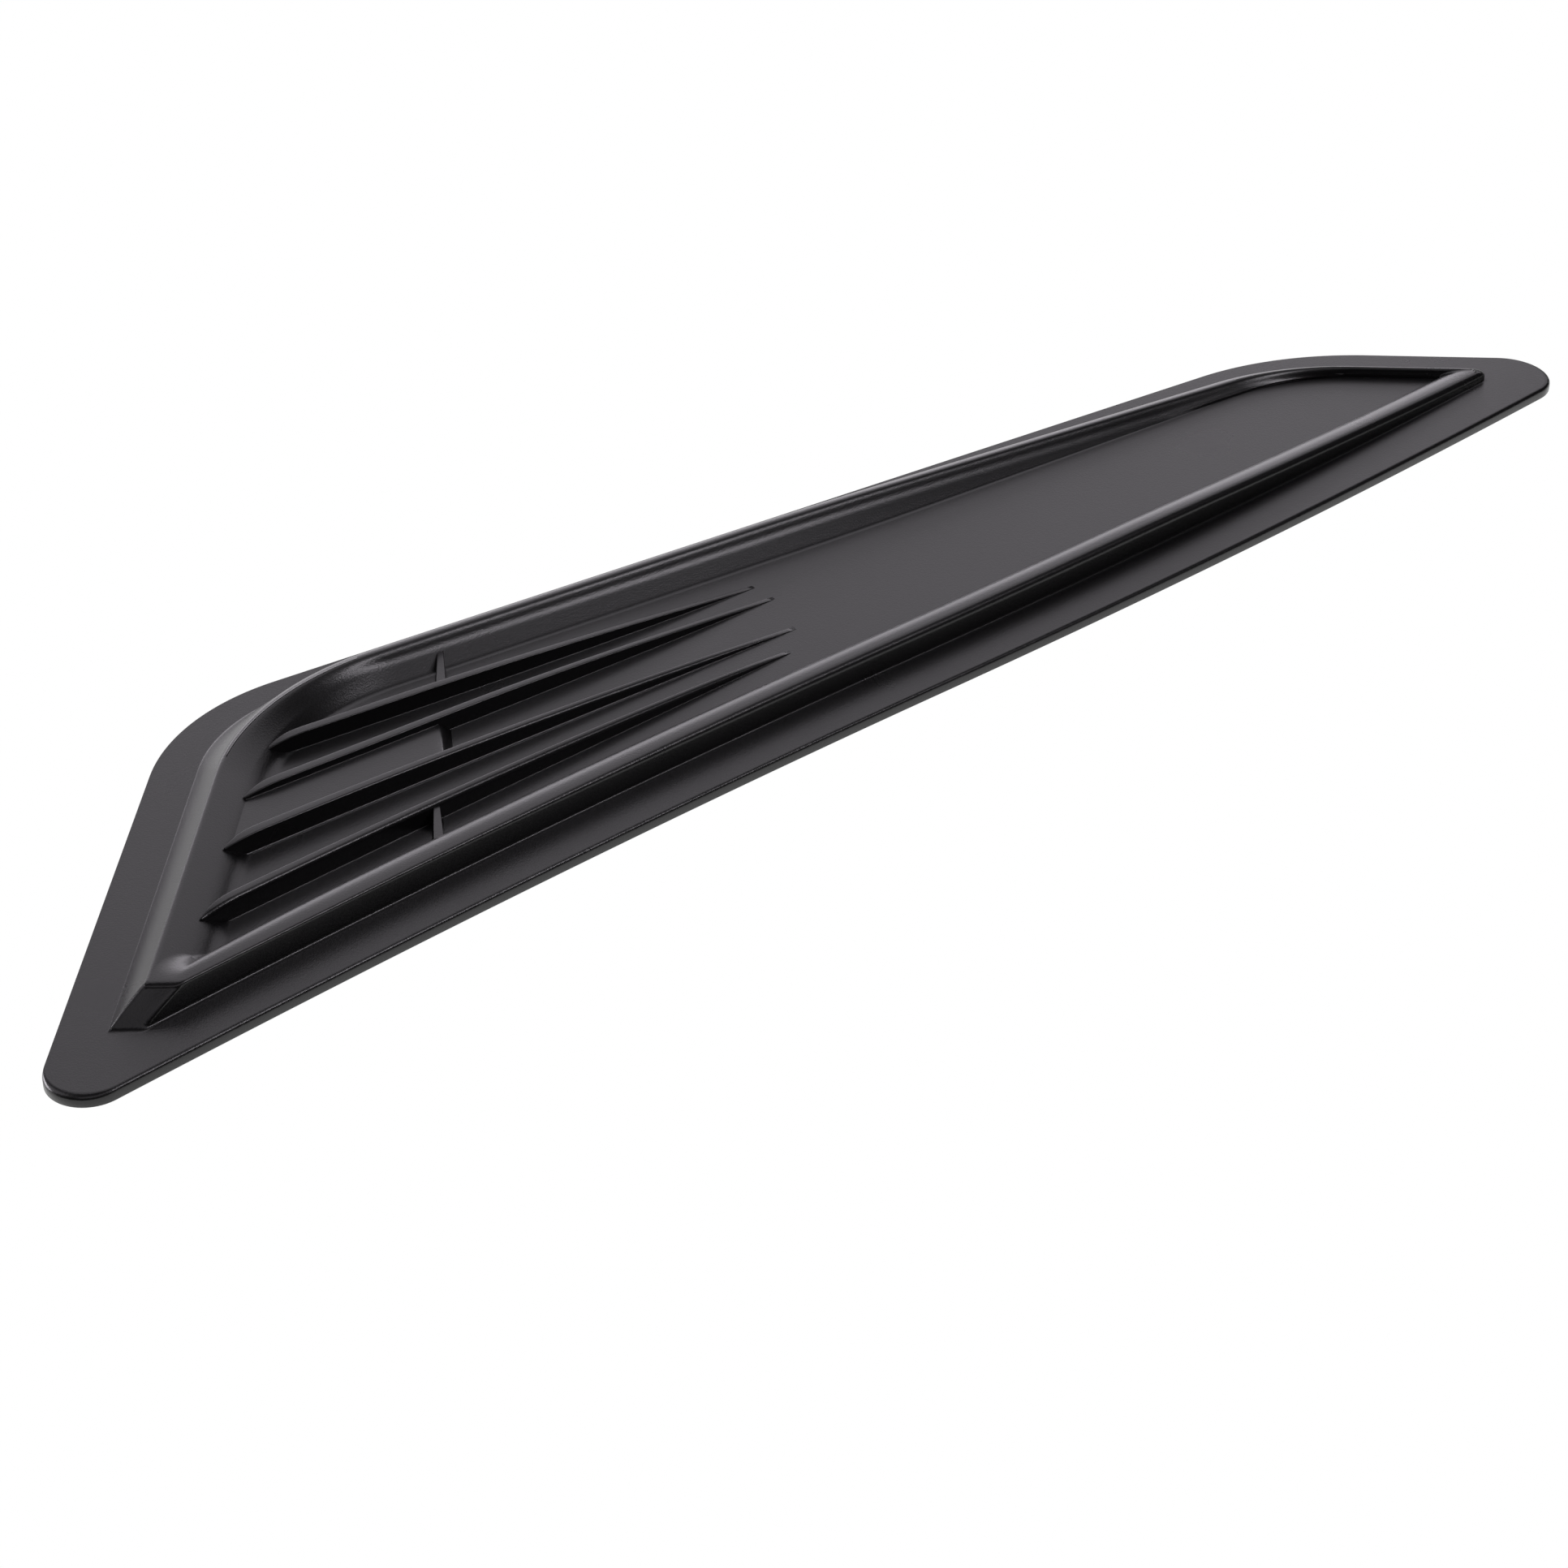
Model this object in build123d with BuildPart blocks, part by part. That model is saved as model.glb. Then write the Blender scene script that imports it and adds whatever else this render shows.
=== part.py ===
"""Bonnet scoop: one thin moulding with a flat flange, a raised rim, a sunk well and four long fins."""
import os
from math import atan2, cos, degrees, radians, sin, tan

from build123d import *

# Flange plan, measured between its sharp corners before they are rounded
near_edge = 446.0
end_angle = 45.0
far_left_depth = 97.5
far_right_depth = 55.7
near_bow = 2.4
near_left_round = 8.0
far_left_round = 46.0
far_right_round = 68.0
near_right_round = 10.0
flange_thickness = 2.5
lip_round = 0.9

# Flat land of the flange, from its edge to the foot of the rim
near_land = 11.5
left_land = 9.4
far_land = 8.3
right_land = 10.0
rim_turn = 0.26

# Rim: upright walls, a sloping left end, a facet at the near left corner, a crown that falls to the right
rim_height = 5.5
wall_draft = 0.3
left_end_slope = 42.0
foot_far_left_round = 37.0
foot_far_right_round = 58.0
crest_far_left_round = 60.0
crest_far_right_round = 54.0
tip_round = 3.0
facet_left_leg = 6.1
facet_near_leg = 9.0
crown_fall_angle = 2.3
crown_fall_start = 92.0

# Inner side of the rim: a flat crown, a rolled edge, then the walls of the well
near_crown = 2.9
far_crown = 0.3
left_crown = 0.3
right_crown = 0.3
roll_depth = 2.5
near_roll = 1.4
far_roll = 2.4
right_roll = 1.3
left_run = 5.5
left_lean = 35.0
near_lean = 24.0
far_lean = 57.0
dish_corner_round = 4.5
dish_far_left_round = 58.0
dish_far_right_round = 50.0
well_far_left_round = 50.0
well_far_right_round = 44.0
well_tip_round = 2.0

# Fins, as set-ins of their near faces from the far or near edge at the root and at the tip
far_fin_roots = (26.4, 40.2)
far_fin_tips = (24.7, 29.7)
far_fin_ends = (217.0, 220.0)
far_fin_bows = (0.4, -0.9)
near_fin_roots = (43.4, 27.4)
near_fin_tips = (36.9, 29.7)
near_fin_ends = (214.7, 207.4)
near_fin_bows = (-1.0, -0.9)
fin_root_reach = 20.0
fin_root_height = 2.7
fin_shoulder_height = 3.5
fin_height = 3.85
fin_tail_height = 2.6
fin_tip_height = 0.2
fin_shoulder_share = 0.035
fin_peak_share = 0.15
fin_tail_share = 0.6
fin_root_width = 2.4
fin_tip_width = 1.2

# Cross webs and the raised shelf, each ending on a slanting line
web_angle = 56.0
far_web_foot = 99.6
near_web_foot = 93.3
web_height = 1.6
web_near_width = 1.5
web_far_width = 0.8
shelf_foot = 98.1
shelf_height = 1.7
shelf_chamfer = 1.5

# Hollow under the rim, with the wall left over it
wall = 2.0
hollow_corner_round = 1.5

os.makedirs("parts", exist_ok=True)

far_angle = degrees(
    atan2(
        far_left_depth - far_right_depth,
        near_edge - (far_left_depth + far_right_depth) / tan(radians(end_angle)),
    )
)
floor = flange_thickness
crest_height = floor + rim_height
left_end_run = rim_height / tan(radians(left_end_slope))


def near_line(x):
    """Set of the bowed near edge from its chord: inwards on the left half, outwards on the right."""
    half = near_edge / 2
    place = (x % half) / half
    return 4 * near_bow * place * (1 - place) * (1 if x < half else -1)


def fin_line(x, near):
    """Height at x of a line set in from the near edge and bowed as the edge is."""
    return near + near_line(x)


def rim_line(x, near):
    """Height at x of a line set in from the near edge; inside the flange it turns a little from the edge."""
    turn = tan(radians(rim_turn)) * (x - near_edge / 2)
    return fin_line(x, near) + (turn if near else 0)


def near_corner(line, near, end, right=False):
    """Point where a line set in from an end meets a near line."""
    reach = end
    for _ in range(12):
        x = near_edge - reach if right else reach
        reach = line(x, near) / tan(radians(end_angle)) + end / sin(radians(end_angle))
    x = near_edge - reach if right else reach
    return (x, line(x, near))


def far_line(x, far):
    """Height at x of a line set in from the far edge."""
    start = far_left_depth / tan(radians(end_angle))
    return far_left_depth - (x - start) * tan(radians(far_angle)) - far / cos(radians(far_angle))


def far_corner(far, end, right=False):
    """Point where a line set in from an end meets a line set in from the far edge."""
    slope, fall = tan(radians(end_angle)), tan(radians(far_angle))
    level, set_in = far_line(0, far), end / sin(radians(end_angle))
    if right:
        x = (slope * (near_edge - set_in) - level) / (slope - fall)
    else:
        x = (level + slope * set_in) / (slope + fall)
    return (x, far_line(x, far))


def outline(level, near, left, far, right, rounds, facet=False):
    """Closed plan outline on a level, set in from the four sides, with rounded corners."""
    near_left, near_right = near_corner(rim_line, near, left), near_corner(rim_line, near, right, True)
    far_left, far_right = far_corner(far, left), far_corner(far, right, True)
    start = near_left
    if facet:
        start = (near_left[0] + facet_near_leg, rim_line(near_left[0] + facet_near_leg, near))
        facet_end = (
            near_left[0] + facet_left_leg * cos(radians(end_angle)),
            near_left[1] + facet_left_leg * sin(radians(end_angle)),
        )
    middle = (near_edge / 2, near)
    first, second = (start[0] + middle[0]) / 2, (middle[0] + near_right[0]) / 2
    with BuildSketch(level) as ring:
        with BuildLine():
            ThreePointArc(start, (first, rim_line(first, near)), middle)
            ThreePointArc(middle, (second, rim_line(second, near)), near_right)
            Polyline(near_right, far_right, far_left)
            if facet:
                Polyline(far_left, facet_end, start)
            else:
                Line(far_left, start)
        make_face()
        for corner, radius in zip((near_left, far_left, far_right, near_right), rounds):
            if radius:
                fillet(ring.vertices().sort_by_distance((*corner, 0))[0], radius)
    return ring.sketch


def inner_ring(crown, depth, skin=0.0):
    """Outline of the inner side of the rim at a depth below its crown, or of a skin outside and below it."""
    bulge = (1 - (1 - min(1.0, depth / roll_depth)) ** 2) ** 0.5
    below = max(0.0, depth - roll_depth)
    near = near_land + wall_draft + near_crown + near_roll * bulge + below * tan(radians(near_lean))
    far = far_land + wall_draft + far_crown + far_roll * bulge + below * tan(radians(far_lean))
    left_roll = left_run * min(1.0, depth / roll_depth)
    left = left_land + left_end_run + left_crown + left_roll + below * tan(radians(left_lean))
    right = right_land + wall_draft + right_crown + right_roll * bulge
    share = depth / rim_height
    rounds = (
        dish_corner_round,
        dish_far_left_round + (well_far_left_round - dish_far_left_round) * share + skin,
        dish_far_right_round + (well_far_right_round - dish_far_right_round) * share + skin,
        well_tip_round,
    )
    return outline(crown.offset(-depth - skin), near - skin, left - skin, far - skin, right - skin, rounds)


def well(crown, keep, skin=0.0):
    """Space inside the rim on one side of the line where its crown starts to fall."""
    with BuildPart() as space:
        loft([inner_ring(crown, roll_depth * (1 - cos(radians(turn))), skin) for turn in (0, 30, 60, 90)])
        loft([inner_ring(crown, roll_depth, skin), inner_ring(crown, rim_height, skin)], ruled=True)
        split(bisect_by=fall_line, keep=keep)
        split(bisect_by=plan.offset(floor - skin), keep=Keep.TOP)
    return space.part


def hollow_ring(height):
    """Outline of the hollow inside the outer side of the rim at a height."""
    draft = wall + wall_draft * (height - floor) / rim_height
    run = wall / sin(radians(left_end_slope)) + (height - floor) / tan(radians(left_end_slope))
    rounds = (hollow_corner_round, foot_far_left_round, foot_far_right_round, hollow_corner_round)
    insets = (near_land + draft, left_land + run, far_land + draft, right_land + draft)
    return outline(plan.offset(height), *insets, rounds)


flange_rounds = (near_left_round, far_left_round, far_right_round, near_right_round)
centre = outline(Plane.XY, 0, 0, 0, 0, flange_rounds).bounding_box().center()
plan = Plane(origin=(-centre.X, -centre.Y, 0))

# Level crown, the crown that falls to the right end, and the line between them
level_crown = plan.offset(crest_height)
fall_x = near_edge - crown_fall_start / sin(radians(end_angle))
fall_axis = Pos(fall_x, 0, 0) * Rot(0, 0, 90 - end_angle)
fall_turn = fall_axis * Rot(0, crown_fall_angle, 0) * fall_axis.inverse()
falling_crown = Plane(level_crown.location * fall_turn)
fall_line = Plane(level_crown.location * fall_axis * Rot(0, 90, 0))

# Root and tip of each fin's near face, from the far side to the near side
roots = [far_corner(far, fin_root_reach) for far in far_fin_roots]
roots += [near_corner(fin_line, near, fin_root_reach) for near in near_fin_roots]
tips = [(end, far_line(end, far)) for end, far in zip(far_fin_ends, far_fin_tips)]
tips += [(end, fin_line(end, near)) for end, near in zip(near_fin_ends, near_fin_tips)]
bows = far_fin_bows + near_fin_bows


def on_slant(foot, start, end):
    """Point where a slanting line from its foot on the near chord crosses the line from start to end."""
    lean = 1 / tan(radians(web_angle))
    reach_start = start[0] - foot - start[1] * lean
    reach_end = end[0] - foot - end[1] * lean
    return Vector(*start) + (Vector(*end) - Vector(*start)) * (reach_start / (reach_start - reach_end))


def web(near_end, far_end):
    """Small upright web across a bay, thinner towards its far end."""
    across = (far_end - near_end).normalized().rotate(Axis.Z, 90) / 2
    with BuildPart() as plate:
        with BuildSketch(plan.offset(floor)):
            with BuildLine():
                Polyline(
                    near_end - across * web_near_width,
                    far_end - across * web_far_width,
                    far_end + across * web_far_width,
                    near_end + across * web_near_width,
                    close=True,
                )
            make_face()
        extrude(amount=web_height)
    return plate.part


def fin(root, tip, bow):
    """Thin blade that tapers to its tip: a side profile cut to a bowed wedge in plan."""
    run = Vector(*tip) - Vector(*root)
    along = run.normalized()
    across = along.rotate(Axis.Z, 90)
    side = Plane(origin=plan.from_local_coords((*root, floor)), x_dir=along, z_dir=-across)
    with BuildPart() as blade:
        with BuildSketch(side):
            with BuildLine():
                Spline(
                    (0, fin_root_height),
                    (run.length * fin_shoulder_share, fin_shoulder_height),
                    (run.length * fin_peak_share, fin_height),
                    (run.length * fin_tail_share, fin_tail_height),
                    (run.length, fin_tip_height),
                )
                Polyline((run.length, fin_tip_height), (run.length, 0), (0, 0), (0, fin_root_height))
            make_face()
        extrude(amount=fin_root_width + abs(bow), both=True)
        with BuildSketch(plan.offset(floor)):
            with BuildLine():
                start, end = Vector(*root), Vector(*tip)
                far_end, far_start = end + across * fin_tip_width, start + across * fin_root_width
                sag = across * bow * -2
                Bezier(start, (start + end) / 2 + sag, end)
                Line(end, far_end)
                Bezier(far_end, (far_start + far_end) / 2 + sag, far_start)
                Line(far_start, start)
            make_face()
        extrude(amount=fin_height * 2, mode=Mode.INTERSECT)
    return blade.part


with BuildPart() as shelf:
    # Raised shelf between the two middle fins, from the left slope to the slanting line
    with BuildSketch(plan.offset(floor)):
        with BuildLine():
            Polyline(roots[1], tips[1], tips[2], roots[2], close=True)
        make_face()
    extrude(amount=shelf_height)
    slant = Plane(
        origin=plan.from_local_coords((shelf_foot, 0, 0)),
        z_dir=(sin(radians(web_angle)), -cos(radians(web_angle)), 0),
    )
    split(bisect_by=slant, keep=Keep.BOTTOM)
    end_face = shelf.faces().filter_by(lambda face: abs(face.normal_at().dot(slant.z_dir)) > 0.99)[0]
    chamfer(end_face.edges().sort_by(Axis.Z)[-1], shelf_chamfer)

with BuildPart() as hollow:
    # Space inside the outer side of the rim, less the skin of the well
    loft([hollow_ring(0), hollow_ring(crest_height - wall)], ruled=True)
    add(well(level_crown, Keep.BOTTOM, wall), mode=Mode.SUBTRACT)
    add(well(falling_crown, Keep.TOP, wall), mode=Mode.SUBTRACT)
    extrude(inner_ring(level_crown, rim_height, wall), amount=-floor, mode=Mode.SUBTRACT)
    split(bisect_by=falling_crown.offset(-wall), keep=Keep.BOTTOM)

with BuildPart() as scoop:
    # Flat flange with a rounded lip
    add(outline(plan, 0, 0, 0, 0, flange_rounds))
    extrude(amount=flange_thickness)
    fillet(scoop.edges().group_by(Axis.Z)[-1], lip_round)

    # Solid rim over the flange
    foot = outline(
        plan.offset(floor), near_land, left_land, far_land, right_land,
        (0, foot_far_left_round, foot_far_right_round, tip_round), facet=True,
    )
    crest = outline(
        level_crown, near_land + wall_draft, left_land + left_end_run, far_land + wall_draft,
        right_land + wall_draft, (0, crest_far_left_round, crest_far_right_round, tip_round), facet=True,
    )
    loft([foot, crest], ruled=True)

    # Crown of the rim, cut where it falls towards the right end, and the well inside it
    split(bisect_by=falling_crown, keep=Keep.BOTTOM)
    add(well(level_crown, Keep.BOTTOM), mode=Mode.SUBTRACT)
    add(well(falling_crown, Keep.TOP), mode=Mode.SUBTRACT)

    # Shelf, fins and webs on the floor of the well
    add(shelf.part)
    for root, tip, bow in zip(roots, tips, bows):
        add(fin(root, tip, bow))
    far_wall = (far_corner(far_land + wall, left_land), far_corner(far_land + wall, right_land, True))
    near_wall = (
        near_corner(rim_line, near_land + wall, left_land),
        near_corner(rim_line, near_land + wall, right_land, True),
    )
    add(web(on_slant(far_web_foot, roots[0], tips[0]), on_slant(far_web_foot, *far_wall)))
    add(web(on_slant(near_web_foot, *near_wall), on_slant(near_web_foot, roots[3], tips[3])))

    # Hollow underside
    add(hollow.part, mode=Mode.SUBTRACT)

scoop.part.label = "scoop_moulding"
print(scoop.part.bounding_box().size, round(scoop.part.volume), scoop.part.is_valid)
export_step(scoop.part, "parts/scoop_moulding.step")
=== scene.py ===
import math

import bpy
import numpy as np
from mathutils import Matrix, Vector


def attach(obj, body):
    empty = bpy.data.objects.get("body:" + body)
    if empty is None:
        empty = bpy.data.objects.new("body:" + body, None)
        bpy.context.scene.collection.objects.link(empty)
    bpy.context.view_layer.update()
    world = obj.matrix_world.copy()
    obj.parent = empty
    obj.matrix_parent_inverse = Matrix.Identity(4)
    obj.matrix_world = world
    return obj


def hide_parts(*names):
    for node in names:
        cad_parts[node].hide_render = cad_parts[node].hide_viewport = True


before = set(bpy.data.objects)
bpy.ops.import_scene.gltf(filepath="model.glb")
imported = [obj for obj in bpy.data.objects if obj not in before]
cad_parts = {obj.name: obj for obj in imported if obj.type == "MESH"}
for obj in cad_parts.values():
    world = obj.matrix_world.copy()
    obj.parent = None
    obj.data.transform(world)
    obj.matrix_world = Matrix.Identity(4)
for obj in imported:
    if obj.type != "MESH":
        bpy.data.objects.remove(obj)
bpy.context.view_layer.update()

mm = 0.001  # settings are in millimetres, meshes in metres
root2 = math.sqrt(2)

# Plan of the flange between its sharp corners, with the near left corner at 0, 0
planShape = {
    "nearEdge": 446.0,
    "farLeftDepth": 97.5,
    "farRightDepth": 55.7,
    "nearBow": 2.4,  # sway of the near edge, in on the left half and out on the right
    "rimTurn": 0.26,  # degrees that the rim's near side turns from the flange's near edge
    "flangeTop": 2.5,
    "crest": 8.0,
    "fallStart": 92.0,  # distance from the right end where the crown starts to fall
    "fallEase": 12.0,
    "fallAngle": 2.3,
    "wallFall": 2.6,  # most that the leaning walls get shorter
    "facetTop": 0.7,  # top edge radius of the facet
    "crispEdge": 0.6,  # outer edge radius at the left of the near wall
    "softEdge": 1.6,  # and at the right
    "softFrom": 60.0,
    "softRun": 160.0,
    "softLimit": 0.6,  # part of the wall's height that the soft edge may take
    "slimFrom": 15.0,  # where the rolled inner edge is slimmest
    "slimRun": 75.0,  # way from there to its full width
    "rimMiddle": 12.0,  # inset at which the fall of the crown is read for a leaning wall
    "middle": (222.428, 46.1558),  # plan point that lies at the frame's origin
    "aim": 1.0,  # way along a curved side that gives its direction at a corner
    "settle": 14,  # rounds that bring a corner onto both of its sides
    "fadeRate": 6.0,  # a side's miss fades out over one part in this many of its length
}
farSlope = (planShape["farLeftDepth"] - planShape["farRightDepth"]) / (
    planShape["nearEdge"] - planShape["farLeftDepth"] - planShape["farRightDepth"])
farTilt = math.atan(farSlope)


def nearBow(x):
    # sway of the near edge: a parabola inwards on the left half, the same outwards on the right
    half = planShape["nearEdge"] / 2
    place = np.mod(x, half) / half
    return 4 * planShape["nearBow"] * place * (1 - place) * np.where(x < half, 1, -1)


def farLine(x, inset):
    # height at x of the straight far edge, set in square to itself
    return (planShape["farLeftDepth"] - (x - planShape["farLeftDepth"]) * farSlope
            - inset / math.cos(farTilt))


def crownDrop(x, y):
    # fall of the crown: none, then a parabola that eases into a straight slope to the right end
    past = planShape["fallStart"] - (planShape["nearEdge"] - x - y) / root2
    ease = planShape["fallEase"]
    eased = np.where(past < ease, np.clip(past + ease, 0, None) ** 2 / (4 * ease), past)
    return eased * math.tan(math.radians(planShape["fallAngle"]))


def softRadius(x):
    # outer edge radius of the near wall: crisp, then a smooth step to round, less where the wall is low
    share = np.clip((x - planShape["softFrom"]) / planShape["softRun"], 0, 1)
    rise = planShape["softEdge"] - planShape["crispEdge"]
    wall = planShape["crest"] - planShape["flangeTop"] - crownDrop(x, planShape["rimMiddle"])
    return np.minimum(planShape["crispEdge"] + rise * share * share * (3 - 2 * share),
                      wall * planShape["softLimit"])


def nearSide(x, ring):
    # near side of a ring: inset + turn + its share of the fall + its share of the soft radius + the sway,
    # less what the rolled edge gets slimmer towards the left end
    drop = np.minimum(crownDrop(x, planShape["rimMiddle"]), planShape["wallFall"])
    turn = math.tan(math.radians(planShape["rimTurn"])) * (x - planShape["nearEdge"] / 2)
    slim = 1 - np.clip((x - planShape["slimFrom"]) / planShape["slimRun"], 0, 1)
    return (ring["near"] + ring["turn"] * turn + ring["nearFall"] * drop - ring["nearSlim"] * slim * slim
            + ring["nearSoft"] * softRadius(x) + nearBow(x))


def farSide(x, ring):
    # far side of a ring: the straight edge set in by the inset + its share of the fall
    drop = np.minimum(crownDrop(x, farLine(x, planShape["rimMiddle"])), planShape["wallFall"])
    return farLine(x, ring["far"] + ring["farFall"] * drop)


def unit(way):
    # each vector divided by its length
    return way / np.linalg.norm(way, axis=-1, keepdims=True)


def cornerArc(before, corner, after, radius, count):
    # round corner: the rational second-degree curve between the two tangent points is a true arc
    way, onward = unit(corner - before), unit(after - corner)
    turn = np.arccos(np.clip((way * onward).sum(-1, keepdims=True), -1, 1))
    reach = radius[..., None] * np.tan(turn / 2)
    s, weight = np.linspace(0, 1, count)[None, :, None], np.cos(turn / 2)
    first, last = corner - way * reach, corner + onward * reach
    top = (1 - s) ** 2 * first + 2 * s * (1 - s) * weight * corner + s ** 2 * last
    return top / ((1 - s) ** 2 + 2 * s * (1 - s) * weight + s ** 2)


ringCounts = {"facetEdge": 12, "facet": 6, "near": 200, "nearRight": 20, "right": 26, "farRight": 40,
              "far": 130, "farLeft": 40, "left": 56}


def sideRun(arcBefore, arcAfter, count, curve=None):
    # side between two corners: evenly spaced points, laid on the curve with the ends' miss faded out
    first, last = arcBefore[:, -1:], arcAfter[:, :1]
    s = np.linspace(0, 1, count + 2)[None, 1:-1]
    line = first + (last - first) * s[..., None]
    if curve is None:
        return line
    x = line[..., 0]
    missFirst = first[..., 1] - curve(first[..., 0])
    missLast = last[..., 1] - curve(last[..., 0])
    fades = [np.clip(1 - planShape["fadeRate"] * way, 0, 1) ** 2 for way in (s, 1 - s)]
    return np.stack([x, curve(x) + (missFirst * fades[0] + missLast * fades[1])], -1)


def planRings(ring):
    # closed plan rings, one row each: four round corners joined by straight or swayed sides
    # a ring with a facet has two small rounds and a flat in place of its near left corner
    def spot(x, y):
        # x and y side by side, stretched to one shape
        return np.stack([x + 0 * y, y + 0 * x], -1)

    edge, step = planShape["nearEdge"], planShape["aim"]
    xLeft, xRight = ring["left"] * root2, edge - ring["right"] * root2
    xFarLeft, xFarRight = xLeft + planShape["farLeftDepth"], xRight - planShape["farRightDepth"]
    for _ in range(planShape["settle"]):
        xLeft = ring["left"] * root2 + nearSide(xLeft, ring)
        xRight = edge - ring["right"] * root2 - nearSide(xRight, ring)
        xFarLeft = ring["left"] * root2 + farSide(xFarLeft, ring)
        xFarRight = edge - ring["right"] * root2 - farSide(xFarRight, ring)

    def onNear(x):
        # points of the near side at x
        return spot(x, nearSide(x, ring))

    def onFar(x):
        # points of the far side at x
        return spot(x, farSide(x, ring))

    leg, xStart = roundShape["facetLegs"][0] / root2, xLeft + roundShape["facetLegs"][1]
    corner, start, nearRight = onNear(xLeft), onNear(xStart), onNear(xRight)
    farRight, farLeft = onFar(xFarRight), onFar(xFarLeft)
    facetEnd = corner + leg
    sharp, soft = (np.full_like(ring["left"], radius) for radius in roundShape["facetEdges"])
    count = ringCounts["facetEdge"]
    leftEdge = cornerArc(farLeft, facetEnd, start, sharp, count)
    nearEdge = cornerArc(facetEnd, start, onNear(xStart + step), soft, count)
    facet = np.concatenate([leftEdge, sideRun(leftEdge, nearEdge, ringCounts["facet"]), nearEdge], 1)
    plain = cornerArc(farLeft, corner, onNear(xLeft + step), ring["nearLeftRound"], facet.shape[1])
    arcs = [
        np.where(ring["facet"][..., None] > 0, facet, plain),
        cornerArc(onNear(xRight - step), nearRight, farRight, ring["tipRound"], ringCounts["nearRight"]),
        cornerArc(nearRight, farRight, onFar(xFarRight - step), ring["farRightRound"],
                  ringCounts["farRight"]),
        cornerArc(onFar(xFarLeft + step), farLeft, corner, ring["farLeftRound"], ringCounts["farLeft"]),
    ]
    sides = [
        sideRun(arcs[0], arcs[1], ringCounts["near"], lambda x: nearSide(x, ring)),
        sideRun(arcs[1], arcs[2], ringCounts["right"]),
        sideRun(arcs[2], arcs[3], ringCounts["far"], lambda x: farSide(x, ring)),
        sideRun(arcs[3], arcs[0], ringCounts["left"]),
    ]
    return np.concatenate([part for pair in zip(arcs, sides) for part in pair], 1)


# Section of the moulding: insets from the four sides of the flange, heights and slopes
sectionShape = {
    "nearLand": 11.5, "leftLand": 9.4, "farLand": 7.1, "rightLand": 10.0,
    "draft": 0.3,
    "nearCrown": 1.9, "farCrown": 2.45, "rightCrown": 1.0,
    "rollDepth": 2.8, "nearRoll": 5.6, "rightRoll": 0.8,
    "farRound": 0.9,  # radius inside the far crest
    "farEase": (1.0, 3.2),  # depths between which its curve eases into the straight wall
    "farSamples": 200,
    "rollSlim": 0.8,  # part of the near roll that is lost at the left end
    "rollLimit": 0.85,  # part of the rim's height that the roll may take
    "nearLean": 8.0, "farLean": 52.0,
    "bevel": 43.0, "bevelBow": 0.3,
    "ridgeRound": 1.0, "ridgeFlat": 0.05,
    "leftSlope": 24.5, "shoulder": 3.0,  # gentle slope inside the ridge, and the round at its end
    "leftStep": 46.0, "leftFoot": 23.9,  # steep step below it, and the inset of its foot
    "leftSamples": 80,
    "leftEdge": 0.3, "farEdge": 1.2, "farTop": 2.4, "rightEdge": 0.9,  # outer edge radii
    "innerFoot": 0.45, "leftFootRound": 1.1, "outerFoot": 0.6, "leftToe": 0.1,  # heights of the foot fillets
    "lip": 0.9, "sideLip": 0.15, "underLip": 0.25,
    "gap": 0.08,  # the skin stays this far inside the solid's edge
    "wall": 2.0,
    "slit": 0.05,  # least width of the hollow under the rim
    "hold": 0.15,  # narrow band beside an edge that keeps its flat neighbour flat
}
ringPlaces = {  # shares of a fillet, a wall or the hollow, and turns of a round edge in degrees
    "fillet": (0, 0.03, 0.1, 0.2, 0.35, 0.55, 0.77, 1),
    "innerWall": (0.25, 0.4, 0.55, 0.7, 0.85, 0.97),
    "outerWall": (0.97, 0.8, 0.6, 0.4, 0.25),
    "hollow": (0, 0.02, 0.5, 1),
    "rollTurns": (90, 84, 72, 60, 48, 36, 27, 18, 9, 0),
    "edgeTurns": (90, 75, 60, 45, 30, 15, 0),
    "lipTurns": (92, 90, 75, 60, 45, 30, 15, 0),  # a turn past 90 keeps the land beside the lip flat
    "underTurns": (0, 30, 60, 90, 93),
}
roundShape = {
    "flange": (8.0, 46.0, 68.0, 10.0),  # near left, far left, far right, near right
    "foot": (1.0, 37.0, 58.0, 2.2),
    "crest": (1.0, 60.0, 54.0, 1.6),
    "dish": (3.0, 58.0, 50.0, 0.6),
    "roll": (1.6, 58.0, 50.0, 0.6),
    "well": (1.6, 50.0, 44.0, 0.8),
    "hollow": (1.5, 37.0, 58.0, 1.5),
    "facetLegs": (6.1, 9.0),  # along the left and near sides
    "facetEdges": (0.4, 3.0),  # to the left bevel and to the near wall
}


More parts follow.
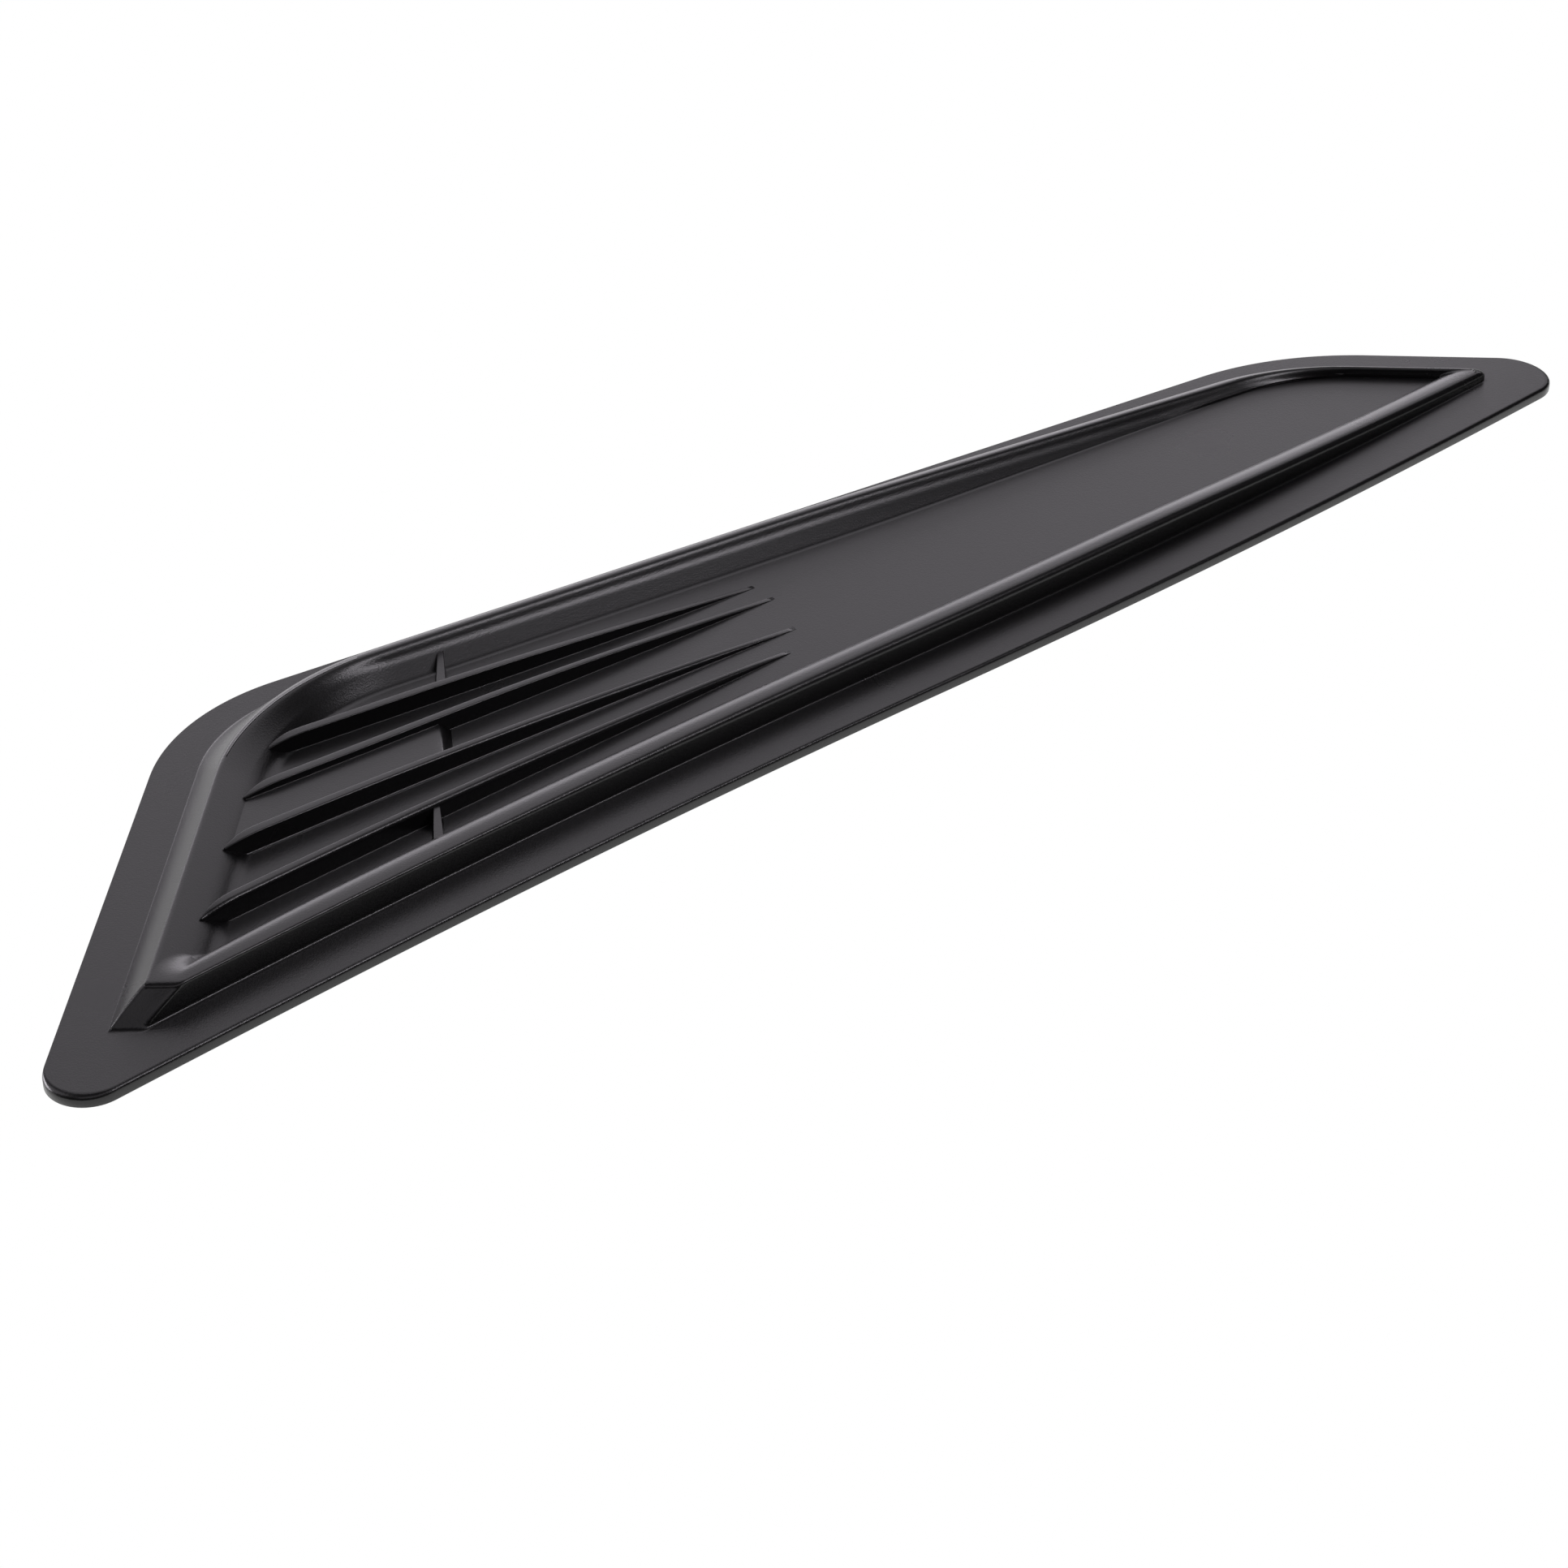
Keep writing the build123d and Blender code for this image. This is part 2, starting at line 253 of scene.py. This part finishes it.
def leftInset(height, inner):
    # left side: outer bevel with a slight bow, round ridge, then the nearer of a gentle slope
    # and a steep step, eased together
    s = sectionShape
    bevel, slope, step = (math.radians(s[name]) for name in ("bevel", "leftSlope", "leftStep"))
    radius = s["ridgeRound"]
    core = planShape["crest"] - radius
    middle = s["leftLand"] + (core - planShape["flangeTop"]) / math.tan(bevel) + radius / math.sin(bevel)
    rise = height - core
    arc = math.sqrt(max(0.0, radius ** 2 - rise ** 2)) + s["ridgeFlat"] if rise > 0 else 0.0
    if not inner:
        share = (height - planShape["flangeTop"]) / (planShape["crest"] - planShape["flangeTop"])
        return middle - 4 * s["bevelBow"] * share * (1 - share) - (
            arc if rise > radius * math.cos(bevel) else radius / math.sin(bevel) - rise / math.tan(bevel))
    if rise > radius * math.cos(slope):
        return middle + arc
    gentle = middle + radius / math.sin(slope) - rise / math.tan(slope)
    steep = s["leftFoot"] - (height - planShape["flangeTop"]) / math.tan(step)
    ease = max(0.0, s["shoulder"] - abs(gentle - steep))
    return min(gentle, steep) - ease ** 2 / (4 * s["shoulder"])


def farRun(depth):
    # far side: run from the crest by depth, the sum of a slope that eases from a circle's
    # to the straight wall's
    s = sectionShape
    place = np.linspace(0, depth, s["farSamples"])
    share = np.clip((place - s["farEase"][0]) / (s["farEase"][1] - s["farEase"][0]), 0, 1)
    share = share * share * (3 - 2 * share)
    circle, lean = np.sqrt(2 * s["farRound"] * place), math.tan(math.radians(s["farLean"]))
    steps = np.diff(circle) * (1 - share[1:]) + np.diff(place) * share[1:] * lean
    return float(steps.sum())


def footStand(height, angle, top):
    # fillet at a wall's foot: how far an arc tangent to floor and wall stands out from the wall's line
    radius = top / (1 - math.cos(angle))
    if height >= top:
        return 0.0
    return (radius * math.tan(angle / 2) - math.sqrt(radius ** 2 - (radius - height) ** 2)
            + height / math.tan(angle))


def cornerFields(first, second=None, share=0.0, facet=0.0):
    # corner radii of one named set, or a mix of two sets
    mixed = [a * (1 - share) + b * share for a, b in zip(roundShape[first], roundShape[second or first])]
    return {"nearLeftRound": mixed[0], "farLeftRound": mixed[1], "farRightRound": mixed[2],
            "tipRound": mixed[3], "facet": facet}


def station(near, left, far, right, corners, lift=0.0, depth=0.0, level=None, **extra):
    # one ring of the section; its height is level + lift * (crown - depth - soft share - level)
    values = {"near": near, "left": left, "far": far, "right": right, "lift": lift, "depth": depth,
              "level": planShape["flangeTop"] if level is None else level,
              "turn": 1.0, "nearFall": 0.0, "nearSlim": 0.0, "nearSoft": 0.0, "farFall": 0.0,
              "depthSoft": 0.0}
    return {**values, **corners, **extra}


fourSides = ("near", "left", "far", "right")


def shifted(ring, inset):
    # copy of a ring with one amount added to its four insets
    return {**ring, **{side: ring[side] + inset for side in fourSides}}


def innerStations(skin=0.0):
    # inner side of the rim from the floor of the well up: foot fillet, leaning wall, then a rolled edge
    # a skin is the same surface set out and down by its thickness, as the hollow below has it
    s, rows = sectionShape, []
    top, crest, foot = planShape["flangeTop"], planShape["crest"], sectionShape["innerFoot"]
    crown = {side: s[side + "Land"] + s["draft"] + s[side + "Crown"] for side in ("near", "far", "right")}
    wallHeight = crest - s["rollDepth"] - top
    nearLean, farLean = math.radians(s["nearLean"]), math.radians(s["farLean"])
    angles = {"near": math.pi / 2 - nearLean, "far": math.pi / 2 - farLean, "right": math.pi / 2,
              "left": math.radians(s["leftStep"])}
    tops = {side: s["leftFootRound"] if side == "left" else foot for side in angles}
    fillet = [foot * share for share in ringPlaces["fillet"]]
    for height in fillet + [wallHeight * share for share in ringPlaces["innerWall"]]:
        lift, below = height / wallHeight, wallHeight - height
        stand = {side: 0.0 if skin else footStand(height, angle, tops[side])
                 for side, angle in angles.items()}
        rows.append(station(
            crown["near"] + s["nearRoll"] + below * math.tan(nearLean) + stand["near"] - skin,
            leftInset(top + height, True) + stand["left"] - skin,
            crown["far"] + farRun(s["rollDepth"] + below) + stand["far"] - skin,
            crown["right"] + s["rightRoll"] + stand["right"] - skin,
            cornerFields("well", "roll", lift), lift, s["rollDepth"] + skin, top - skin,
            nearFall=-(1 - lift) * math.tan(nearLean), farFall=-(1 - lift) * math.tan(farLean),
            nearSlim=s["nearRoll"] * s["rollSlim"]))
    for turn in np.radians(ringPlaces["rollTurns"]):
        depth = s["rollDepth"] * (1 - math.cos(turn))
        rows.append(station(
            crown["near"] + s["nearRoll"] * math.sin(turn) - skin, leftInset(crest - depth, True) - skin,
            crown["far"] + farRun(depth) - skin,
            crown["right"] + s["rightRoll"] * math.sin(turn) - skin,
            cornerFields("dish", "roll", depth / s["rollDepth"]), 1, depth + skin, top - skin,
            nearSlim=s["nearRoll"] * math.sin(turn) * s["rollSlim"]))
    return rows


def topStations():
    # visible side from the well outwards: floor, inner side, crown, outer edge, wall, foot, land, lip
    s = sectionShape
    rows = innerStations()
    rows.insert(0, shifted(rows[0], s["hold"]))
    crest, base, foot = planShape["crest"], planShape["flangeTop"], s["outerFoot"]
    for turn in np.radians(ringPlaces["edgeTurns"]):
        out, down = 1 - math.cos(turn), 1 - math.sin(turn)
        rows.append(station(
            s["nearLand"] + s["draft"], leftInset(crest - s["leftEdge"] * down, False),
            s["farLand"] + s["draft"] + s["farTop"] * out,
            s["rightLand"] + s["draft"] + s["rightEdge"] * out,
            cornerFields("crest", facet=1), 1, 0, nearSoft=out, depthSoft=down))
    rise = crest - s["leftEdge"] - base
    upright = math.atan2(rise, s["draft"])
    fillet = [foot * share for share in ringPlaces["fillet"][::-1]]
    for height in [rise * share for share in ringPlaces["outerWall"]] + fillet:
        lift = height / rise
        draft = s["draft"] * lift - footStand(height, upright, foot)
        rows.append(station(
            s["nearLand"] + draft,
            leftInset(base + height, False) - footStand(height, math.radians(s["bevel"]), s["leftToe"]),
            s["farLand"] + draft, s["rightLand"] + draft,
            cornerFields("foot", "crest", lift, facet=1), lift, 0, depthSoft=1))
    rows.append(shifted(rows[-1], -s["hold"]))
    for turn in np.radians(ringPlaces["lipTurns"]):
        inset, side = (s["gap"] + run * (1 - math.cos(turn)) for run in (s["lip"], s["sideLip"]))
        drop = s["lip"] * (1 - math.sin(min(turn, math.pi / 2)))
        rows.append(station(inset, side, side, side, cornerFields("flange"), level=base - drop, turn=0.0))
    return rows


def underStations():
    # hidden side from the lip inwards: lower edge, flat land, hollow under the rim, flat floor
    s, rows = sectionShape, []
    for turn in np.radians(ringPlaces["underTurns"]):
        inset = s["gap"] + s["underLip"] * (1 - math.cos(turn))
        level = s["underLip"] * (1 - math.sin(min(turn, math.pi / 2)))
        rows.append(station(inset, inset, inset, inset, cornerFields("flange"), level=level, turn=0.0))
    bevel, top = math.radians(s["bevel"]), planShape["crest"] - s["wall"]
    for lift in ringPlaces["hollow"]:
        draft = s["wall"] + s["draft"] * lift
        run = s["wall"] / math.sin(bevel) + (top * lift - planShape["flangeTop"]) / math.tan(bevel)
        rows.append(station(
            s["nearLand"] + draft, s["leftLand"] + run, s["farLand"] + draft, s["rightLand"] + draft,
            cornerFields("hollow"), lift, s["wall"], 0.0))
    outer = rows[-1]
    for row in innerStations(s["wall"])[::-1]:
        for side in fourSides:
            row[side] = max(row[side], outer[side] + s["slit"])
        rows.append(row)
    rows.append({**rows[-1], "lift": 0.0, "level": 0.0})
    return rows


def softShares(nearX):
    # edge radius by place on the ring: even along each side but the near one,
    # evenly changing round the corners
    c, s = ringCounts, sectionShape
    half = c["facetEdge"] + c["facet"] // 2
    facet = planShape["facetTop"]
    crisp = np.concatenate([np.linspace(s["leftEdge"], facet, half),
                            np.linspace(facet, planShape["crispEdge"], half)])
    near = softRadius(nearX)
    return np.concatenate([
        crisp, near, np.linspace(near[-1], s["rightEdge"], c["nearRight"]),
        np.full(c["right"], s["rightEdge"]), np.linspace(s["rightEdge"], s["farEdge"], c["farRight"]),
        np.full(c["far"], s["farEdge"]), np.linspace(s["farEdge"], s["leftEdge"], c["farLeft"]),
        np.full(c["left"], s["leftEdge"])])


def sectionSurface(rows):
    # heights over the plan rings: level + lift * (crown height - depth - soft share - level)
    # the depth shrinks where the crown is too low for the whole roll
    ring = {name: np.array([row[name] for row in rows])[:, None] for name in rows[0]}
    plan = planRings(ring)
    x, y = plan[..., 0], plan[..., 1]
    first = 2 * ringCounts["facetEdge"] + ringCounts["facet"]
    soft = softShares(x[:, first:first + ringCounts["near"]].mean(0))[None, :]
    crown = planShape["crest"] - crownDrop(x, y)
    room = sectionShape["rollLimit"] * (crown - planShape["flangeTop"]) / sectionShape["rollDepth"]
    depth = ring["depth"] * np.clip(room, 0, 1)
    z = ring["level"] + ring["lift"] * (crown - depth - ring["depthSoft"] * soft - ring["level"])
    return np.concatenate([plan, z[..., None]], -1)


def capFaces(first, count, flip):
    # flat cap inside a ring: each point joined to the one as far from the start the other way round
    i = np.arange(count // 2 - 1)
    quads = first + np.stack([i, i + 1, count - 2 - i, count - 1 - i], -1)
    return quads[:, ::-1] if flip else quads


def closedMesh(surface):
    # stack of rings: quads between neighbours, closed round each ring, and a cap inside the first and last
    rows, count = surface.shape[:2]
    i, j = np.meshgrid(np.arange(rows - 1), np.arange(count), indexing="ij")
    k = (j + 1) % count
    sides = np.stack([(i + 1) * count + j, (i + 1) * count + k, i * count + k, i * count + j], -1)
    caps = [capFaces(0, count, False), capFaces((rows - 1) * count, count, True)]
    return surface.reshape(-1, 3), np.concatenate([sides.reshape(-1, 4), *caps])


# Fins from the far side to the near side: near-face insets at root and tip, then their side lines and edges
finShape = {
    "farRoots": (26.4, 40.2), "farTips": (24.2, 30.6), "farEnds": (220.0, 220.0),
    "nearRoots": (43.4, 27.4), "nearTips": (36.3, 29.5), "nearEnds": (214.7, 207.4),
    "reach": (22.6, 21.4, 20.9, 20.8), "bows": (0.7, 0.3, -0.4, -0.5),  # bow towards the near side
    "heights": (3.7, 3.75, 4.2, 4.5), "rootDrop": (1.4, 0.95, 0.95, 1.15), "rootRun": 9.5,
    "peaks": (0.27, 0.37, 0.1, 0.1), "tailPowers": (1.0, 1.0, 0.9, 0.75),
    "widths": (2.4, 1.2), "nose": 0.2, "noseRun": 7.0,  # the root narrows to this share of the width
    "farEdge": 0.32, "feet": (0.15, 0.15, 0.5, 0.2),
    "nearEdges": ((0.32, 0.32), (0.32, 0.5), (0.3, 1.6), (0.9, 1.6)),  # near top edge at root and tip
    "along": 120,
}
bladeShape = {  # what fins and webs share
    "sunk": 0.5, "turns": 6,
    "crowding": 1.5,  # power that brings the sections closer together towards the root
    "edgeShares": (0.75, 0.2),  # most of the width that the near and far edges may take
    "edgeLimit": 0.75, "footLimit": 0.2,  # most of the height that an edge and a foot may take
    "leastHeight": 0.02,
}


def groundHeight(spots):
    # floor of the well, or the left side where that is higher, read back from its profile
    top = planShape["crest"] - sectionShape["leftEdge"]
    tall = np.linspace(planShape["flangeTop"], top, sectionShape["leftSamples"])
    insets = np.array([leftInset(height, True) for height in tall])
    return np.interp((spots[..., 0] - spots[..., 1]) / root2, insets[::-1], tall[::-1])


def bladeSpots(line, bow, share, side):
    # plan points of a blade: along its line by share, off the bowed near face by side
    start, end = line
    run = end - start
    across = np.array([-run[1], run[0]]) / np.linalg.norm(run)
    off = side - 4 * bow * share * (1 - share)
    return start + run * share[..., None] + across * off[..., None]


def bladeSurface(line, bow, width, top, edges, foot, along):
    # blade: a closed loop of foot fillet, near face, round edge, top, round edge, far face and foot fillet
    # points lie closer together towards the root
    b = bladeShape
    share = np.linspace(0, 1, along)[:, None] ** b["crowding"]
    width = width(share)
    low = [groundHeight(bladeSpots(line, bow, share, side)) for side in (0 * share, width)]
    high = top(share)
    turn = np.linspace(0, math.pi / 2, b["turns"])[None, :]
    sides, heights = [], []
    for ground, edge, part in zip(low, edges, b["edgeShares"]):
        tall = np.maximum(high - ground, b["leastHeight"])
        toe = np.minimum(foot, b["footLimit"] * tall)
        radius = edge[0] + (edge[1] - edge[0]) * share
        radius = np.minimum(np.minimum(radius, part * width), b["edgeLimit"] * tall)
        sides.append(np.concatenate([-toe, -toe * (1 - np.sin(turn)), radius * (1 - np.cos(turn))], 1))
        heights.append(np.concatenate([ground - b["sunk"], ground + toe * (1 - np.cos(turn)),
                                       high - radius * (1 - np.sin(turn))], 1))
    side = np.concatenate([sides[0], width - sides[1][:, ::-1]], 1)
    tall = np.concatenate([heights[0], heights[1][:, ::-1]], 1)
    return np.concatenate([bladeSpots(line, bow, share + 0 * side, side), tall[..., None]], -1)


def finLines():
    # plan ends of each near face, from the far side to the near side
    f, lines = finShape, []
    for inset, tip, end, reach in zip(f["farRoots"], f["farTips"], f["farEnds"], f["reach"][:2]):
        x = (farLine(0, inset) + reach * root2) / (1 + farSlope)
        lines.append((np.array([x, farLine(x, inset)]), np.array([end, farLine(end, tip)])))
    for inset, tip, end, reach in zip(f["nearRoots"], f["nearTips"], f["nearEnds"], f["reach"][2:]):
        x = reach * root2 + inset
        for _ in range(planShape["settle"]):
            x = reach * root2 + inset + nearBow(x)
        lines.append((np.array([x, inset + nearBow(x)]), np.array([end, tip + nearBow(end)])))
    return lines


def finTop(share, length, number):
    # side line of a fin: a parabola up from the root, a level back, then a power of a cosine down to the tip
    f = finShape
    peak = f["peaks"][number]
    fall = np.clip((share - peak) / (1 - peak), 0, 1)
    root = np.clip(1 - share * length / f["rootRun"], 0, 1)
    crest = f["heights"][number] * np.abs(np.cos(fall * math.pi / 2)) ** f["tailPowers"][number]
    return planShape["flangeTop"] + crest - f["rootDrop"][number] * root ** 2


def finWidth(share, length):
    # width of a fin: an even taper to the tip, and a parabola down to a narrow nose at the root
    f = finShape
    nose = np.clip(1 - share * length / f["noseRun"], 0, 1)
    return (f["widths"][0] + (f["widths"][1] - f["widths"][0]) * share) * (1 - (1 - f["nose"]) * nose ** 2)


# Webs across the outer bays, and the shelf in the middle bay, each on a slanting line
webShape = {"farFoot": (95.0, 54.0), "nearFoot": (90.4, 50.6),  # foot on the near chord, angle from it
            "heights": (2.5, 3.2), "widths": (2.2, 1.3), "edge": 0.22, "foot": 0.4,
            "nearInset": 16.5, "farInset": 11.5,  # lines inside the walls where the webs end
            "nearSpan": (60.0, 160.0), "farSpan": (60.0, 380.0),  # and the places those lines run between
            "inFin": 1.2, "along": 12}
shelfShape = {"foot": (101.8, 60.0), "height": 2.2, "reach": 20.8, "inFin": 1.0, "sunk": 0.5, "along": 24,
              "endEdge": 0.4, "endRun": 2.4,  # round before the sloping end, and the end's run
              "endRuns": (0.0, 0.12, 0.3, 1.0, 1.0), "endFalls": (0.06, 0.16, 0.32, 1.0, 1.0),  # as shares
              "farRound": 0.15, "turns": 6, "hold": 0.3}  # fillet up the far fin, flat band beside it


def slantShare(foot, start, end):
    # share of the line from start to end where the slanting line from a foot on the near chord crosses it
    lean = 1 / math.tan(math.radians(foot[1]))
    a, b = (p[0] - foot[0] - p[1] * lean for p in (start, end))
    return a / (a - b)


def webMesh(nearEnd, farEnd, height):
    # web: a blade of even height, wider at its near end, centred on the slanting line
    w = webShape
    run = unit(farEnd - nearEnd)
    across = np.array([-run[1], run[0]]) / 2
    wide, slim = w["widths"]
    line = (nearEnd - across * wide, farEnd - across * slim)
    top, edge = planShape["flangeTop"] + height, (w["edge"], w["edge"])
    return closedMesh(bladeSurface(line, 0.0, lambda share: wide + (slim - wide) * share,
                                   lambda share: top + 0 * share, (edge, edge), w["foot"], w["along"]))


def shelfMesh(farFin, nearFin, farSway, nearSway):
    # shelf: a flat top between two bowed fins, from the left slope to a sloping end on the slanting line
    # beside the far fin it turns up in a small quarter circle
    s, base = shelfShape, planShape["flangeTop"]
    fall = np.concatenate([np.zeros(s["along"]), s["endFalls"]])
    top = base + s["height"] * (1 - fall)
    top[-1] = base - s["sunk"] / 2
    low = np.full_like(top, base - s["sunk"])

    def edge(line, bow, side):
        # points beside a fin: even steps from the slope to the slanting line, then the sloping end's steps
        start, run = line[0], line[1] - line[0]
        length = np.linalg.norm(run)
        begin = (s["reach"] - (start[0] - start[1]) / root2) / ((run[0] - run[1]) / root2)
        stop = slantShare(s["foot"], *line)
        flat = np.linspace(begin, stop - s["endEdge"] / length, s["along"])
        share = np.concatenate([flat, stop + np.array(s["endRuns"]) * s["endRun"] / length])
        return bladeSpots(line, bow, share, side + 0 * share)

    near, far, radius = edge(nearFin, nearSway, s["inFin"]), edge(farFin, farSway, s["inFin"]), s["farRound"]
    rows = [(near, low), (near, top), (edge(nearFin, nearSway, s["inFin"] + s["hold"]), top),
            (edge(farFin, farSway, -radius - s["hold"]), top)]
    for turn in np.linspace(0, math.pi / 2, s["turns"]):
        rows.append((edge(farFin, farSway, -radius * (1 - math.sin(turn))),
                     top + radius * (1 - math.cos(turn)) * (1 - fall)))
    rows += [(far, rows[-1][1]), (far, low)]
    return closedMesh(np.stack([np.concatenate([spots, tall[:, None]], -1) for spots, tall in rows], 1))


def joined(parts):
    # one vertex list and one face list out of several
    starts = np.cumsum([0] + [len(points) for points, _ in parts[:-1]])
    return (np.concatenate([points for points, _ in parts]),
            np.concatenate([faces + first for (_, faces), first in zip(parts, starts)]))


def meshObject(name, points, faces):
    # plan millimetres to frame metres, then straight into a smooth-shaded mesh
    middle = np.array([*planShape["middle"], 0.0])
    mesh = bpy.data.meshes.new(name)
    mesh.from_pydata(((points - middle) * mm).tolist(), [], faces.tolist())
    mesh.polygons.foreach_set("use_smooth", np.ones(len(mesh.polygons), bool))
    mesh.validate()
    mesh.update()
    piece = bpy.data.objects.new(name, mesh)
    bpy.context.collection.objects.link(piece)
    return piece


parts = [closedMesh(sectionSurface(topStations() + underStations()))]
print("rim, well and flange ready")
lines = finLines()
for number, line in enumerate(lines):
    length = np.linalg.norm(line[1] - line[0])
    edges = (finShape["nearEdges"][number], (finShape["farEdge"],) * 2)
    parts.append(closedMesh(bladeSurface(
        line, finShape["bows"][number], lambda share: finWidth(share, length),
        lambda share: finTop(share, length, number), edges, finShape["feet"][number], finShape["along"])))
print("fins ready")


def finSpot(number, foot):
    # point inside a fin where the slanting line from a foot crosses it
    share = np.array(slantShare(foot, *lines[number]))
    return bladeSpots(lines[number], finShape["bows"][number], share, np.array(webShape["inFin"]))


def wallSpot(foot, spots):
    # point inside a wall of the well where the slanting line from a foot crosses it
    return spots[0] + (spots[1] - spots[0]) * slantShare(foot, *spots)


farFoot, nearFoot = webShape["farFoot"], webShape["nearFoot"]
farWall = [np.array([x, farLine(x, webShape["farInset"])]) for x in webShape["farSpan"]]
nearWall = [np.array([x, webShape["nearInset"] + nearBow(x)]) for x in webShape["nearSpan"]]
parts.append(webMesh(finSpot(0, farFoot), wallSpot(farFoot, farWall), webShape["heights"][0]))
parts.append(webMesh(wallSpot(nearFoot, nearWall), finSpot(3, nearFoot), webShape["heights"][1]))
parts.append(shelfMesh(lines[1], lines[2], finShape["bows"][1], finShape["bows"][2]))
moulding = meshObject("moulding", *joined(parts))
print("moulding ready", len(moulding.data.polygons), "faces")


# Satin plastic: near black, with a fine moulded grain and a slightly uneven sheen
plasticLook = {"color": (0.008, 0.0078, 0.008, 1), "roughness": (0.26, 0.30), "sheenScale": 40.0,
               "grainScale": 2600.0, "grainDepth": 0.05}


def satinPlastic():
    # roughness = slow noise between two limits; bump = fine noise; both on object coordinates
    look = plasticLook
    material = bpy.data.materials.new("satinPlastic")
    material.use_nodes = True
    nodes, links = material.node_tree.nodes, material.node_tree.links
    shader = nodes["Principled BSDF"]
    shader.inputs["Base Color"].default_value = look["color"]
    place = nodes.new("ShaderNodeTexCoord")
    cloud = nodes.new("ShaderNodeTexNoise")
    cloud.inputs["Scale"].default_value = look["sheenScale"]
    limits = nodes.new("ShaderNodeMapRange")
    limits.inputs["To Min"].default_value, limits.inputs["To Max"].default_value = look["roughness"]
    grain = nodes.new("ShaderNodeTexNoise")
    grain.inputs["Scale"].default_value = look["grainScale"]
    bump = nodes.new("ShaderNodeBump")
    bump.inputs["Strength"].default_value = look["grainDepth"]
    bump.inputs["Distance"].default_value = mm
    links.new(place.outputs["Object"], cloud.inputs["Vector"])
    links.new(place.outputs["Object"], grain.inputs["Vector"])
    links.new(cloud.outputs["Fac"], limits.inputs["Value"])
    links.new(limits.outputs["Result"], shader.inputs["Roughness"])
    links.new(grain.outputs["Fac"], bump.inputs["Height"])
    links.new(bump.outputs["Normal"], shader.inputs["Normal"])
    return material


moulding.data.materials.append(satinPlastic())
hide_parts("scoop_moulding")
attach(moulding, "root")
print("plastic ready")


# Studio: white floor, soft panels round the part, and the camera
studio = {
    "floorSize": 8.0, "floorGlow": 1.0,
    "lens": 79.37, "sensor": 36.0, "clipStart": 0.01,
    "pitch": 33.13, "yaw": 42.44, "spot": (-213.75, -428.05, 375.82),
    "panelReach": 1.5, "panelBack": 47.4,  # metres; turn of the line from the camera through the part
    "panelTint": (1.0, 0.955, 1.025),  # the faint warm violet of the photograph's greys
}
panels = {  # turn from straight behind the part and lift over the floor in degrees, size in metres, radiance
    "backStrip": (12, 7, (1.7, 0.5), 2.2),
    "backWall": (0, 32, (2.2, 0.9), 0.9),
    "backHigh": (0, 58, (1.2, 0.6), 1.0),
    "leftBox": (78, 10, (0.8, 0.6), 11.0),
    "leftHigh": (90, 45, (0.9, 0.8), 1.0),
    "frontTop": (180, 58, (1.1, 0.8), 0.6),
    "rightHigh": (-100, 66, (0.9, 0.6), 0.6),
    "rightBox": (-106, 46, (0.3, 0.3), 12.0),
}


def paleFloor():
    # flat square under the part, evenly lit from within so that it stays plain white
    half = studio["floorSize"] / 2
    corners = np.array([[-half, -half, 0], [half, -half, 0], [half, half, 0], [-half, half, 0]])
    mesh = bpy.data.meshes.new("floor")
    mesh.from_pydata(corners.tolist(), [], [[0, 1, 2, 3]])
    material = bpy.data.materials.new("paleFloor")
    material.use_nodes = True
    shader = material.node_tree.nodes["Principled BSDF"]
    shader.inputs["Base Color"].default_value = (0, 0, 0, 1)
    shader.inputs["Specular IOR Level"].default_value = 0.0
    shader.inputs["Emission Color"].default_value = (1, 1, 1, 1)
    shader.inputs["Emission Strength"].default_value = studio["floorGlow"]
    mesh.materials.append(material)
    floor = bpy.data.objects.new("floor", mesh)
    bpy.context.collection.objects.link(floor)


def softPanel(name, turn, lift, size, radiance):
    # square-cornered panel on a dome, facing the part; power = radiance * pi * area
    light = bpy.data.lights.new(name, "AREA")
    light.shape = "RECTANGLE"
    light.size, light.size_y = size
    light.energy = radiance * math.pi * size[0] * size[1]
    light.color = studio["panelTint"]
    panel = bpy.data.objects.new(name, light)
    around, up = math.radians(studio["panelBack"] + turn), math.radians(lift)
    way = Vector((math.cos(around) * math.cos(up), math.sin(around) * math.cos(up), math.sin(up)))
    panel.location = way * studio["panelReach"]
    panel.rotation_euler = way.to_track_quat("Z", "Y").to_euler()
    bpy.context.collection.objects.link(panel)


def studioCamera():
    # the photograph's own view: lens, tilt and turn as fitted, place in plan millimetres
    middle = np.array([*planShape["middle"], 0.0])
    camera = bpy.data.objects.new("camera", bpy.data.cameras.new("camera"))
    bpy.context.collection.objects.link(camera)
    camera.data.lens, camera.data.sensor_width = studio["lens"], studio["sensor"]
    camera.data.clip_start = studio["clipStart"]
    camera.location = (np.array(studio["spot"]) - middle) * mm
    camera.rotation_euler = (math.radians(90 - studio["pitch"]), 0, math.radians(-studio["yaw"]))
    bpy.context.scene.camera = camera


paleFloor()
studioCamera()
for name, values in panels.items():
    softPanel(name, *values)
world = bpy.data.worlds.new("darkWorld")
world.use_nodes = True
world.node_tree.nodes["Background"].inputs["Strength"].default_value = 0.0
bpy.context.scene.world = world
bpy.context.scene.view_settings.view_transform = "Standard"
print("studio ready")
